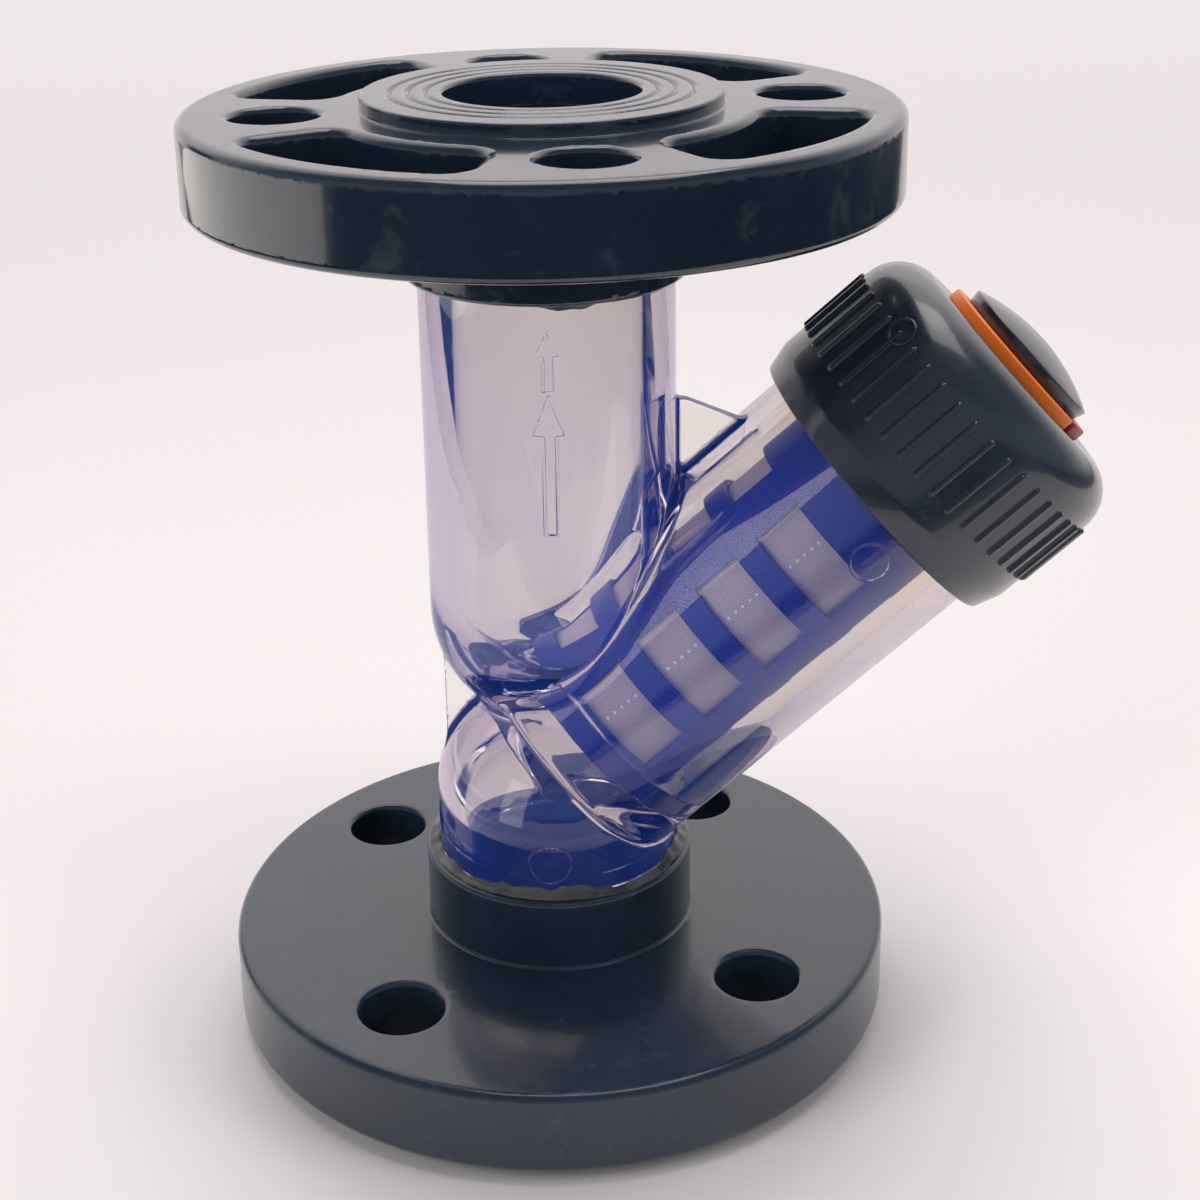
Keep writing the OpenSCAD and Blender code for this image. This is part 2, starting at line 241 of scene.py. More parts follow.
def body_shell(x, y, z):
    """Outside of the clear body without its arrows and thread."""
    r = np.hypot(x, y)
    s, u = branch_coordinates(x, z)
    b = np.hypot(u, y)
    inlet = np.hypot(r, np.maximum(z - INLET_DOME, 0)) - RUN_R
    inlet = smooth_max(inlet, SHOULDER_LOW - z, 0.5)
    outlet = np.hypot(r, np.maximum(OUTLET_DOME - z, 0)) - RUN_R
    outlet = smooth_max(outlet, z - SHOULDER_HIGH, 0.5)
    branch = np.maximum(disc(b, s, BRANCH_R, BRANCH_START, THREAD_S + 9, BRANCH_ROUND), s - THREAD_S)
    neck = disc(b, s, THREAD_ROOT_R, THREAD_S - 6, BRANCH_END, 0.8)
    d = smooth_min(inlet, branch, INLET_FILLET)
    d = smooth_min(d, outlet, OUTLET_FILLET)
    d = smooth_min(d, neck, 0.3)
    back = np.maximum(np.maximum(BACK_WEB_X[0] - x, x - BACK_WEB_X[1]), np.abs(y) - WEB_HALF)
    back = smooth_max(back, np.maximum(BACK_WEB_Z[0] - z, z - BACK_WEB_Z[1]), 0.6)
    d = smooth_min(d, back, WEB_FILLET)
    crotch = smooth_max(polygon_distance(x, z, list(CROTCH_WEB)), np.abs(y) - WEB_HALF, 0.5)
    d = smooth_min(d, crotch, WEB_FILLET)
    spigots = disc(r, z, SPIGOT_R, SPIGOT_LOW, SHOULDER_LOW + 6, 0.8)
    spigots = np.minimum(spigots, disc(r, z, SPIGOT_R, SHOULDER_HIGH - 6, FACE_TO_FACE - SPIGOT_LOW, 0.8))
    return smooth_min(d, spigots, 0.3)


def passages(x, y, z):
    """The water's way: two tubes with domed ends, the hole and seat between them, and the basket's bore."""
    r = np.hypot(x, y)
    s, u = branch_coordinates(x, z)
    b = np.hypot(u, y)
    inlet = np.hypot(r, np.maximum(z - INLET_CORE, 0)) - BORE_R
    outlet = np.hypot(r, np.maximum(OUTLET_CORE - z, 0)) - BORE_R
    hole = disc(b, s, SEAT_HOLE_R, SEAT_HOLE_S, SEAT_TOP_S, 0.5)
    seat = disc(b, s, SEAT_R, SEAT_S, SEAT_TOP_S + 3, 0.3)
    bore = disc(b, s, BRANCH_BORE_R, SEAT_TOP_S, BRANCH_END + 9, 0.5)
    d = np.minimum(np.minimum(hole, seat), bore)
    d = smooth_min(d, inlet, 0.8)
    return smooth_min(d, outlet, 0.8)


def body_plain(x, y, z):
    """Clear body without its raised lines and thread."""
    return smooth_max(body_shell(x, y, z), -passages(x, y, z), 0.5)


def arrow_lines(x, y, z):
    """Distance, seen from the front, to the outlines of the two flow arrows."""
    d = np.full(x.shape, 9.0)
    run = (np.abs(x) < 6) & (y < -20) & (z > 120) & (z < 172)
    for outline in ARROWS:
        d[run] = np.minimum(d[run], np.abs(polygon_distance(x[run], z[run], outline)))
    return d


def mark_lines(x, y, z):
    """Distance, seen from the front, to the two round moulding marks."""
    s, u = branch_coordinates(x, z)
    d = np.full(x.shape, 9.0)
    branch = (y < -26) & (np.abs(s - BRANCH_MARK[0]) < 8)
    d[branch] = np.abs(np.hypot(s[branch] - BRANCH_MARK[0], u[branch] - BRANCH_MARK[1]) - BRANCH_MARK[2])
    inlet = (y < -22) & (np.abs(z - INLET_MARK[0]) < 8) & (np.abs(x) < 12)
    d[inlet] = np.abs(np.hypot(z[inlet] - INLET_MARK[0], x[inlet] - INLET_MARK[1]) - INLET_MARK[2])
    return d


def body_full(x, y, z):
    """Clear body with its raised lines and thread."""
    d = body_shell(x, y, z)
    for line, (half, proud) in ((arrow_lines(x, y, z), ARROW_LINE), (mark_lines(x, y, z), MARK_LINE)):
        near = line < 2
        if near.any():
            ridge = smooth_max(line[near] - half, d[near] - proud, 0.1)
            d[near] = smooth_min(d[near], ridge, 0.12)
    s, u = branch_coordinates(x, z)
    near = (s > THREAD_S) & (s < BRANCH_END + 3)
    if near.any():
        ridge = thread_field(u[near], y[near], s[near])
        d[near] = smooth_min(d[near], ridge, 0.2)
    return smooth_max(d, -passages(x, y, z), 0.5)


def flange_field(turn, bolt_r, grooves):
    """Flange with its sealing face at z = 0 and its hub upwards."""
    def field(x, y, z):
        r = np.hypot(x, y)
        d = disc(r, z, FLANGE_R, FACE_H, PLATE_BACK, 2.0)
        d = smooth_min(d, disc(r, z, HUB_R, FACE_H, FLANGE_H, 1.0), 0.8)
        d = smooth_min(d, disc(r, z, FACE_R, 0, 12, 0.5), 0.5)
        angle = np.arctan2(y, x) - turn
        quarter = math.pi / 2
        bolt = angle - quarter * np.round(angle / quarter)
        away = np.sqrt(np.maximum(r * r + BOLT_CIRCLE_R ** 2 - 2 * r * BOLT_CIRCLE_R * np.cos(bolt), 0))
        d = smooth_max(d, bolt_r - away, 1.3)
        pocket = angle - quarter * np.floor(angle / quarter) - quarter / 2
        qr = np.abs(r - POCKET_MID_R) - POCKET_HALF_W + POCKET_CORNER_R
        qa = np.abs(pocket) * r - POCKET_HALF_ANGLE * r + POCKET_CORNER_R
        wall = np.hypot(np.maximum(qr, 0), np.maximum(qa, 0)) + np.minimum(np.maximum(qr, qa), 0)
        wall = wall - POCKET_CORNER_R - POCKET_DRAFT * (POCKET_FLOOR - z)
        d = smooth_max(d, -smooth_max(wall, z - POCKET_FLOOR, 2.0), 1.8)
        for groove in grooves:
            cut = (np.abs(r - groove) + 1.1 * z - GROOVE_HALF_W) / 1.49
            d = smooth_max(d, -smooth_max(cut, z - GROOVE_DEPTH, 0.1), 0.15)
        d = smooth_max(d, BORE_R - r, 1.0)
        socket = disc(r, z, SOCKET_R, SOCKET_Z, FLANGE_H + 9, 0.2)
        return smooth_max(d, -socket, 0.5)
    return field


# ---------------------------------------------------------------- meshing

def surface_net(field, low, high, step):
    """Triangles of a field's zero surface, from the sign changes on a grid."""
    axes = [np.arange(a, b + step, step) for a, b in zip(low, high)]
    shape = tuple(len(a) for a in axes)
    d = np.empty(shape)
    for i, x in enumerate(axes[0]):
        yy, zz = np.meshgrid(axes[1], axes[2], indexing="ij")
        d[i] = field(np.full(yy.shape, x), yy, zz)
    inside = d < 0
    offsets = [(i, j, k) for i in (0, 1) for j in (0, 1) for k in (0, 1)]
    cells = tuple(n - 1 for n in shape)

    def corner(grid, o):
        return grid[o[0]:o[0] + cells[0], o[1]:o[1] + cells[1], o[2]:o[2] + cells[2]]

    count = sum(corner(inside, o).astype(np.int8) for o in offsets)
    mixed = (count > 0) & (count < 8)
    ids = np.full(cells, -1)
    ids[mixed] = np.arange(mixed.sum())
    values = np.stack([corner(d, o)[mixed] for o in offsets])
    base = np.argwhere(mixed).astype(float)
    total = np.zeros_like(base)
    hits = np.zeros(len(base))
    for a in range(8):
        for b in range(a + 1, 8):
            if sum(p != q for p, q in zip(offsets[a], offsets[b])) != 1:
                continue
            cross = (values[a] < 0) != (values[b] < 0)
            t = np.where(cross, values[a] / np.where(cross, values[a] - values[b], 1), 0)[:, None]
            here = np.array(offsets[a]) + t * (np.array(offsets[b]) - np.array(offsets[a]))
            total += np.where(cross[:, None], here, 0)
            hits += cross
    points = np.array(low) + step * (base + total / hits[:, None])
    quads = []
    for axis in range(3):
        order = (axis, (axis + 1) % 3, (axis + 2) % 3)
        a = np.transpose(inside, order)
        cell = np.transpose(ids, order)
        i, j, k = np.nonzero(a[:-1, 1:-1, 1:-1] != a[1:, 1:-1, 1:-1])
        quad = np.stack([cell[i, j, k], cell[i, j + 1, k], cell[i, j + 1, k + 1], cell[i, j, k + 1]], 1)
        flip = ~a[i, j + 1, k + 1]
        quad[flip] = quad[flip, ::-1]
        quads.append(quad)
    q = np.concatenate(quads)
    short = np.linalg.norm(points[q[:, 0]] - points[q[:, 2]], axis=1) <= \
        np.linalg.norm(points[q[:, 1]] - points[q[:, 3]], axis=1)
    first = np.where(short[:, None], q[:, [0, 1, 2]], q[:, [0, 1, 3]])
    second = np.where(short[:, None], q[:, [0, 2, 3]], q[:, [1, 2, 3]])
    return points, np.concatenate([first, second])


TETRA = np.array([(1, -1, -1), (-1, -1, 1), (-1, 1, -1), (1, 1, 1)])


def gradient(field, p, reach=0.03):
    """Slope of a field at points, from four samples round each."""
    g = np.zeros_like(p)
    for k in TETRA:
        q = p + reach * k
        g += k * field(q[:, 0], q[:, 1], q[:, 2])[:, None]
    return g / (4 * reach)


def project(field, p, rounds=3, limit=1.0):
    """Moves points along the field's gradient until they lie on its zero surface."""
    for _ in range(rounds):
        g = gradient(field, p)
        size = np.maximum(np.linalg.norm(g, axis=1), 0.3)
        step = np.clip(field(p[:, 0], p[:, 1], p[:, 2]) / size, -limit, limit)
        p = p - (step / size)[:, None] * g
    return p


def relax(field, p, tris, amount=0.5):
    """Evens out the triangles by sliding points along the surface."""
    total = np.zeros_like(p)
    count = np.zeros(len(p))
    for a, b in ((0, 1), (1, 2), (2, 0), (1, 0), (2, 1), (0, 2)):
        for axis in range(3):
            total[:, axis] += np.bincount(tris[:, a], p[tris[:, b], axis], len(p))
        count += np.bincount(tris[:, a], minlength=len(p))
    move = total / count[:, None] - p
    n = gradient(field, p)
    n /= np.maximum(np.linalg.norm(n, axis=1), 1e-6)[:, None]
    return p + amount * (move - (move * n).sum(1)[:, None] * n)


def split(p, tris, choose):
    """Cuts the chosen edges in half and the triangles on them to match."""
    pairs = np.sort(np.concatenate([tris[:, [0, 1]], tris[:, [1, 2]], tris[:, [2, 0]]]), axis=1)
    _, first, inverse = np.unique(pairs[:, 0] * len(p) + pairs[:, 1], return_index=True, return_inverse=True)
    ends = pairs[first]
    cut = choose(ends)
    mids = np.where(cut, len(p) + np.cumsum(cut) - 1, -1)
    points = np.concatenate([p, p[ends[cut]].mean(1)])
    m = mids[inverse.reshape(-1)].reshape(3, -1).T
    code = (m[:, 0] >= 0) + 2 * (m[:, 1] >= 0) + 4 * (m[:, 2] >= 0)
    out = [tris[code == 0]]
    full = code == 7
    (a, b, c), (d, e, f) = tris[full].T, m[full].T
    out += [np.stack(t, 1) for t in ((a, d, f), (d, b, e), (f, e, c), (d, e, f))]
    for value, turn in ((1, 0), (2, 1), (4, 2)):
        at = code == value
        a, b, c = np.roll(tris[at], -turn, axis=1).T
        d = np.roll(m[at], -turn, axis=1)[:, 0]
        out += [np.stack((a, d, c), 1), np.stack((d, b, c), 1)]
    for value, turn in ((3, 0), (6, 1), (5, 2)):
        at = code == value
        a, b, c = np.roll(tris[at], -turn, axis=1).T
        d, e, _ = np.roll(m[at], -turn, axis=1).T
        out.append(np.stack((d, b, e), 1))
        near = (np.linalg.norm(points[a] - points[e], axis=1) <
                np.linalg.norm(points[d] - points[c], axis=1))[:, None]
        out.append(np.where(near, np.stack((a, d, e), 1), np.stack((a, d, c), 1)))
        out.append(np.where(near, np.stack((a, e, c), 1), np.stack((d, e, c), 1)))
    return points, np.concatenate(out)


def mesh_field(plain, full, low, high, dense, step=2.1, levels=3, bend=15.0, sag=0.03, finest=0.45):
    """Meshes a field, splitting edges that bend or sag too much or are longer than `dense` allows.

    The grid sees the `plain` field, and its points then settle on the `full` one.
    """
    p, tris = surface_net(plain, low, high, step)
    p = project(plain, p)
    for _ in range(2):
        p = project(plain, relax(plain, p, tris), 1)
    for level in range(levels):
        n = gradient(full, p)
        n /= np.maximum(np.linalg.norm(n, axis=1), 1e-6)[:, None]

        def choose(ends):
            a, b = p[ends[:, 0]], p[ends[:, 1]]
            size = np.linalg.norm(a - b, axis=1)
            turned = (n[ends[:, 0]] * n[ends[:, 1]]).sum(1) < math.cos(math.radians(bend))
            middle = (a + b) / 2
            off = np.abs(full(middle[:, 0], middle[:, 1], middle[:, 2])) > sag
            return (turned | off) & (size > finest) | (size > dense(middle))

        p, tris = split(p, tris, choose)
        p = project(full, p, 2)
        if level < levels - 1:
            p = project(full, relax(full, p, tris, 0.35), 1)
    return p, tris, gradient(full, project(full, p, 1))


# ---------------------------------------------------------------- structured shapes

def rounded(corners, steps=5):
    """Outline through corners (x, y, radius), each replaced by an arc of its radius."""
    out = []
    n = len(corners)
    for i, (x, y, radius) in enumerate(corners):
        here = np.array((x, y))
        back = np.array(corners[i - 1][:2]) - here
        ahead = np.array(corners[(i + 1) % n][:2]) - here
        back = back / np.linalg.norm(back)
        ahead = ahead / np.linalg.norm(ahead)
        if radius == 0 or abs(back @ ahead) > 0.999:
            out.append(here)
            continue
        half = math.acos(np.clip(back @ ahead, -1, 1)) / 2
        middle = (back + ahead) / np.linalg.norm(back + ahead)
        centre = here + middle * radius / math.sin(half)
        start = here + back * radius / math.tan(half) - centre
        end = here + ahead * radius / math.tan(half) - centre
        sweep = math.atan2(start[0] * end[1] - start[1] * end[0], start @ end)
        for k in range(steps + 1):
            a = sweep * k / steps
            c, s = math.cos(a), math.sin(a)
            out.append(centre + (start[0] * c - start[1] * s, start[0] * s + start[1] * c))
    return np.array(out)


def subdivided(outline, longest):
    """Adds points along an outline's long straight parts."""
    out = [outline[0]]
    for a, b in zip(outline[:-1], outline[1:]):
        n = max(1, math.ceil(np.linalg.norm(b - a) / longest))
        out += [a + (b - a) * k / n for k in range(1, n + 1)]
    return np.array(out)


def grid_faces(rows, columns, wrap_rows=False):
    """Quads of a grid of points whose columns close into a ring."""
    i, j = np.meshgrid(np.arange(rows if wrap_rows else rows - 1), np.arange(columns), indexing="ij")
    a = i * columns + j
    b = i * columns + (j + 1) % columns
    c = (i + 1) % rows * columns + (j + 1) % columns
    d = (i + 1) % rows * columns + j
    return np.stack([a, b, c, d], -1).reshape(-1, 4)


def turned(outline, columns, closed=True):
    """Solid of revolution of an outline of (radius, height) points."""
    angle = np.arange(columns) * 2 * math.pi / columns
    r, z = outline[:, :1], outline[:, 1:]
    points = np.stack([r * np.cos(angle), r * np.sin(angle), z + 0 * angle], -1).reshape(-1, 3)
    return points, grid_faces(len(outline), columns, wrap_rows=closed)


def on_branch(p):
    """Points given as (across, y, station) in the part's frame."""
    ca, sa = math.cos(BRANCH_ANGLE), math.sin(BRANCH_ANGLE)
    u, y, s = p[:, 0], p[:, 1], p[:, 2]
    return np.stack([u * ca + s * sa, y, CROSS_Z - u * sa + s * ca], 1)


def make_piece(name, points, faces, material, body, node, normals=None):
    """Makes a visible piece that rides on a body in place of a CAD node."""
    mesh = bpy.data.meshes.new(name)
    mesh.from_pydata((points * MM).tolist(), [], [tuple(map(int, f)) for f in faces])
    if normals is None:
        work = bmesh.new()
        work.from_mesh(mesh)
        bmesh.ops.remove_doubles(work, verts=work.verts, dist=1e-7)
        bmesh.ops.recalc_face_normals(work, faces=work.faces)
        work.to_mesh(mesh)
        work.free()
    mesh.polygons.foreach_set("use_smooth", [True] * len(mesh.polygons))
    if normals is not None:
        size = np.maximum(np.linalg.norm(normals, axis=1), 1e-9)[:, None]
        mesh.normals_split_custom_set_from_vertices((normals / size).tolist())
    mesh.materials.append(material)
    obj = bpy.data.objects.new(name, mesh)
    scene.collection.objects.link(obj)
    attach(obj, body)
    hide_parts(node)
    return obj


# ---------------------------------------------------------------- materials

def add(tree, kind, inputs=None, **settings):
    """Adds a node, with settings and with inputs that are values or other nodes' outputs."""
    n = tree.nodes.new(kind)
    for key, value in settings.items():
        setattr(n, key, value)
    for key, value in (inputs or {}).items():
        if isinstance(value, bpy.types.NodeSocket):
            tree.links.new(value, n.inputs[key])
        else:
            n.inputs[key].default_value = value
    return n


def new_material(name):
    """A material with nothing in it but its output."""
    mat = bpy.data.materials.new(name)
    mat.use_nodes = True
    tree = mat.node_tree
    tree.nodes.clear()
    out = add(tree, "ShaderNodeOutputMaterial")
    return mat, tree, out


def noise(tree, where, scale, detail=3.0, rough=0.5, distortion=0.0):
    return add(tree, "ShaderNodeTexNoise", {"Vector": where, "Scale": scale, "Detail": detail,
                                            "Roughness": rough, "Distortion": distortion}).outputs["Fac"]


def remap(tree, value, low, high, to_low, to_high):
    return add(tree, "ShaderNodeMapRange", {"Value": value, "From Min": low, "From Max": high,
                                            "To Min": to_low, "To Max": to_high}).outputs["Result"]


def mix_color(tree, factor, a, b):
    n = tree.nodes.new("ShaderNodeMix")
    n.data_type = "RGBA"
    for key, value in ((0, factor), (6, a), (7, b)):
        if isinstance(value, bpy.types.NodeSocket):
            tree.links.new(value, n.inputs[key])
        else:
            n.inputs[key].default_value = value
    return n.outputs[2]


def math_node(tree, operation, a, b=0.0, c=0.0):
    return add(tree, "ShaderNodeMath", {0: a, 1: b, 2: c}, operation=operation).outputs[0]


def bump(tree, height, strength, distance, normal=None):
    inputs = {"Height": height, "Strength": strength, "Distance": distance}
    if normal is not None:
        inputs["Normal"] = normal
    return add(tree, "ShaderNodeBump", inputs).outputs["Normal"]


def object_point(tree):
    return add(tree, "ShaderNodeTexCoord").outputs["Object"]


def moulded_plastic(name, color, worn, roughness, orange_peel=0.15, scuffs=0.5, coat=0.5):
    """Glossy moulded PVC with fine flow marks, rubbed patches and hairline scratches."""
    mat, tree, out = new_material(name)
    p = object_point(tree)
    cloud = noise(tree, p, 38.0, 4.0, 0.6)
    patches = remap(tree, noise(tree, p, 90.0, 6.0, 0.65, 0.4), 0.58, 0.74, 0.0, scuffs)
    swirl = noise(tree, p, 14.0, 2.0)
    swing = math_node(tree, "MULTIPLY", swirl, 9.0)
    turned_point = add(tree, "ShaderNodeVectorRotate", {"Vector": p, "Angle": swing,
                                                        "Axis": (0.3, 0.5, 0.8)}).outputs[0]
    stretched = add(tree, "ShaderNodeMapping", {"Vector": turned_point,
                                                "Scale": (900.0, 900.0, 40.0)}).outputs[0]
    hair = remap(tree, noise(tree, stretched, 1.0, 2.0, 0.5), 0.72, 0.76, 0.0, 0.3)
    worn_mask = math_node(tree, "MAXIMUM", patches, hair)
    shade = mix_color(tree, remap(tree, cloud, 0.35, 0.65, 0.0, 1.0), color,
                      tuple(1.35 * c for c in color[:3]) + (1.0,))
    base = mix_color(tree, math_node(tree, "MULTIPLY", worn_mask, 0.35), shade, worn)
    rough = remap(tree, worn_mask, 0.0, 1.0, roughness, roughness + 0.22)
    rough = math_node(tree, "ADD", rough, remap(tree, cloud, 0.3, 0.7, -0.03, 0.05))
    peel = bump(tree, noise(tree, p, 420.0, 2.0), orange_peel, 0.00012)
    flow = bump(tree, noise(tree, p, 26.0, 1.0), 0.25, 0.0005, peel)
    shader = add(tree, "ShaderNodeBsdfPrincipled", {"Base Color": base, "Roughness": rough, "Normal": flow,
                                                    "IOR": 1.58, "Coat Weight": coat,
                                                    "Coat Roughness": 0.05})
    tree.links.new(shader.outputs[0], out.inputs["Surface"])
    return mat


def clear_pvc():
    """Clear PVC: mauve against light, blue against dark, slightly wavy; lamps shine through it."""
    mat, tree, out = new_material("clear_pvc")
    p = object_point(tree)
    cloud = noise(tree, p, 45.0, 3.0, 0.6)
    stretched = add(tree, "ShaderNodeMapping", {"Vector": p, "Scale": (1500.0, 1500.0, 90.0)}).outputs[0]
    hair = remap(tree, noise(tree, stretched, 1.0, 2.0, 0.5), 0.70, 0.76, 0.0, 0.18)
    rough = math_node(tree, "ADD", remap(tree, cloud, 0.35, 0.7, 0.008, 0.03), hair)
    tint = mix_color(tree, cloud, (0.985, 0.97, 0.79, 1.0), (0.998, 0.985, 0.81, 1.0))
    wavy = bump(tree, noise(tree, p, 30.0, 1.5), 0.12, 0.0006)
    glass = add(tree, "ShaderNodeBsdfPrincipled", {"Base Color": tint, "Roughness": rough, "Normal": wavy,
                                                   "IOR": 1.53, "Transmission Weight": 1.0})
    scatter = (0.003, 0.018, 0.11, 1.0)
    front = add(tree, "ShaderNodeBsdfDiffuse", {"Color": scatter})
    back = add(tree, "ShaderNodeBsdfTranslucent", {"Color": scatter})
    haze = add(tree, "ShaderNodeMixShader", {0: 0.5, 1: front.outputs[0], 2: back.outputs[0]})
    body = add(tree, "ShaderNodeAddShader", {0: glass.outputs[0], 1: haze.outputs[0]})
    veil = add(tree, "ShaderNodeBsdfTransparent", {"Color": (0.90, 0.87, 0.90, 1.0)})
    ray = add(tree, "ShaderNodeLightPath").outputs["Is Shadow Ray"]
    mix = add(tree, "ShaderNodeMixShader", {0: ray, 1: body.outputs[0], 2: veil.outputs[0]})
    depth = add(tree, "ShaderNodeVolumeAbsorption", {"Color": (0.20, 0.0, 0.19, 1.0), "Density": 34.0})
    tree.links.new(mix.outputs[0], out.inputs["Surface"])
    tree.links.new(depth.outputs[0], out.inputs["Volume"])
    return mat


def basket_plastic():
    """Deep blue moulded plastic."""
    mat, tree, out = new_material("basket_plastic")
    p = object_point(tree)
    cloud = noise(tree, p, 60.0, 3.0)
    base = mix_color(tree, cloud, (0.002, 0.014, 0.25, 1.0), (0.004, 0.024, 0.34, 1.0))
    fine = bump(tree, noise(tree, p, 160.0, 2.0), 0.08, 0.0002)
    shader = add(tree, "ShaderNodeBsdfPrincipled", {"Base Color": base, "Normal": fine, "IOR": 1.5,
                                                    "Roughness": remap(tree, cloud, 0.3, 0.7, 0.35, 0.48)})
    tree.links.new(shader.outputs[0], out.inputs["Surface"])
    return mat


def branch_frame(tree, p):
    """Object point turned so that its Z runs along the branch axis."""
    return add(tree, "ShaderNodeVectorRotate", {"Vector": p, "Center": (0, 0, CROSS_Z * MM),
                                                "Angle": -BRANCH_ANGLE},
               rotation_type="Y_AXIS").outputs[0]


def steel_mesh():
    """Woven wire seen as a fine even cloth: wires each way, with the openings between them painted darker as
    painted shade of the hollow inside seen through them.
    """
    mat, tree, out = new_material("steel_mesh")
    q = add(tree, "ShaderNodeSeparateXYZ", {0: branch_frame(tree, object_point(tree))})
    angle = math_node(tree, "ARCTAN2", q.outputs["Y"], q.outputs["X"])
    around = math_node(tree, "MULTIPLY", angle, 2 * math.pi * MESH_R / WIRE_PITCH)
    along = math_node(tree, "MULTIPLY", q.outputs["Z"], 2 * math.pi / (WIRE_PITCH * MM))
    wave_a = math_node(tree, "COSINE", around)
    wave_b = math_node(tree, "COSINE", along)
    weave = math_node(tree, "MULTIPLY", wave_a, wave_b)
    wire = remap(tree, math_node(tree, "MAXIMUM", wave_a, wave_b), -0.2, 0.8, 0.0, 1.0)
    cloud = noise(tree, q.outputs["X"], 60.0)
    light = mix_color(tree, cloud, (0.54, 0.51, 0.57, 1.0), (0.62, 0.59, 0.64, 1.0))
    # Painted shade: the openings between the wires take the darker colour, standing in for the shaded hollow
    # seen through them
    base = mix_color(tree, wire, (0.34, 0.31, 0.39, 1.0), light)
    height = bump(tree, weave, 0.4, 0.0001)
    shader = add(tree, "ShaderNodeBsdfPrincipled", {"Base Color": base, "Normal": height, "Metallic": 0.15,
                                                    "Roughness": 0.5})
    tree.links.new(shader.outputs[0], out.inputs["Surface"])
    return mat


def simple_finish(name, dark, light, roughness, scale, grain):
    """A two-tone mottled finish with a fine grain."""
    mat, tree, out = new_material(name)
    p = object_point(tree)
    cloud = noise(tree, p, scale, 5.0, 0.6)
    base = mix_color(tree, remap(tree, cloud, 0.3, 0.7, 0.0, 1.0), dark, light)
    fine = bump(tree, noise(tree, p, scale * 9, 3.0), grain, 0.0002)
    rough = remap(tree, cloud, 0.3, 0.7, roughness, roughness + 0.15)
    shader = add(tree, "ShaderNodeBsdfPrincipled", {"Base Color": base, "Roughness": rough, "Normal": fine})
    tree.links.new(shader.outputs[0], out.inputs["Surface"])
    return mat


def ring_plastic():
    """Bright orange, darkened to a deep red over the tongue beyond the split."""
    mat, tree, out = new_material("ring_plastic")
    p = object_point(tree)
    q = add(tree, "ShaderNodeSeparateXYZ", {0: branch_frame(tree, p)})
    angle = math_node(tree, "ARCTAN2", q.outputs["Y"], q.outputs["X"])
    tongue = math_node(tree, "MULTIPLY", remap(tree, angle, -0.96, -0.94, 0.0, 1.0),
                       remap(tree, angle, -0.45, -0.35, 1.0, 0.0))
    cloud = noise(tree, p, 70.0, 5.0, 0.6)
    bright = mix_color(tree, cloud, (0.95, 0.165, 0.008, 1.0), (1.0, 0.22, 0.012, 1.0))
    # The tongue's deep red is a darkening set by angle round the branch axis
    base = mix_color(tree, tongue, bright, (0.32, 0.012, 0.010, 1.0))
    fine = bump(tree, noise(tree, p, 600.0, 3.0), 0.15, 0.0002)
    shader = add(tree, "ShaderNodeBsdfPrincipled", {"Base Color": base, "Normal": fine,
                                                    "Roughness": remap(tree, cloud, 0.3, 0.7, 0.32, 0.45)})
    tree.links.new(shader.outputs[0], out.inputs["Surface"])
    return mat


glossy_pvc = moulded_plastic("glossy_pvc", (0.009, 0.018, 0.030, 1.0), (0.15, 0.17, 0.18, 1.0), 0.15)
rubbed_pvc = moulded_plastic("rubbed_pvc", (0.010, 0.019, 0.032, 1.0), (0.15, 0.17, 0.18, 1.0), 0.22,
                             scuffs=0.4, coat=0.3)
nut_pvc = moulded_plastic("nut_pvc", (0.013, 0.020, 0.031, 1.0), (0.15, 0.16, 0.17, 1.0), 0.26,
                          orange_peel=0.3, scuffs=0.3)
body_pvc = clear_pvc()
blue = basket_plastic()
wire = steel_mesh()
orange = ring_plastic()
cement = simple_finish("solvent_cement", (0.03, 0.033, 0.036, 1.0), (0.095, 0.10, 0.097, 1.0),
                       0.22, 110.0, 0.35)
rubber = simple_finish("seal_rubber", (0.012, 0.012, 0.012, 1.0), (0.022, 0.022, 0.022, 1.0),
                       0.55, 120.0, 0.3)
weld_steel = simple_finish("weld_steel", (0.80, 0.78, 0.82, 1.0), (0.95, 0.93, 0.95, 1.0),
                           0.3, 300.0, 0.2)


# ---------------------------------------------------------------- pieces

def clear_body():
    """Run, branch and seat in one clear moulding."""
    def dense(q):
        s, u = branch_coordinates(q[:, 0], q[:, 2])
        thread = (s > THREAD_S + 1) & (s < BRANCH_END) & (np.hypot(u, q[:, 1]) > 29)
        line = np.minimum(arrow_lines(*q.T), mark_lines(*q.T))
        return np.where(thread, 1.0, np.where(line < 0.8, 0.3, np.where(line < 2.5, 1.0, 99.0)))

    points, faces, normals = mesh_field(body_plain, body_full, (-30, -33, 6), (119, 33, 206), dense)
    make_piece("clear_body", points, faces, body_pvc, "root", "body", normals)


def flanges():
    """Two mouldings of one shape, the outlet's upside down at the top."""
    def dense(q):
        r = np.hypot(q[:, 0], q[:, 1])
        return np.where((r > 21) & (r < 34) & (q[:, 2] < 1), 0.6, 99.0)

    for name, node, turn, bolt_r, material, upside_down in (
            ("inlet_flange_moulding", "inlet_flange", INLET_TURN, INLET_BOLT_R, rubbed_pvc, False),
            ("outlet_flange_moulding", "outlet_flange", OUTLET_TURN, OUTLET_BOLT_R, glossy_pvc, True)):
        plain = flange_field(turn, bolt_r, ())
        full = flange_field(turn, bolt_r, GROOVES)
        points, faces, normals = mesh_field(plain, full, (-77, -77, -2), (77, 77, 40.5), dense)
        if upside_down:
            points = points * (1, -1, -1) + (0, 0, FACE_TO_FACE)
            normals = normals * (1, -1, -1)
        make_piece(name, points, faces, material, "root", node, normals)


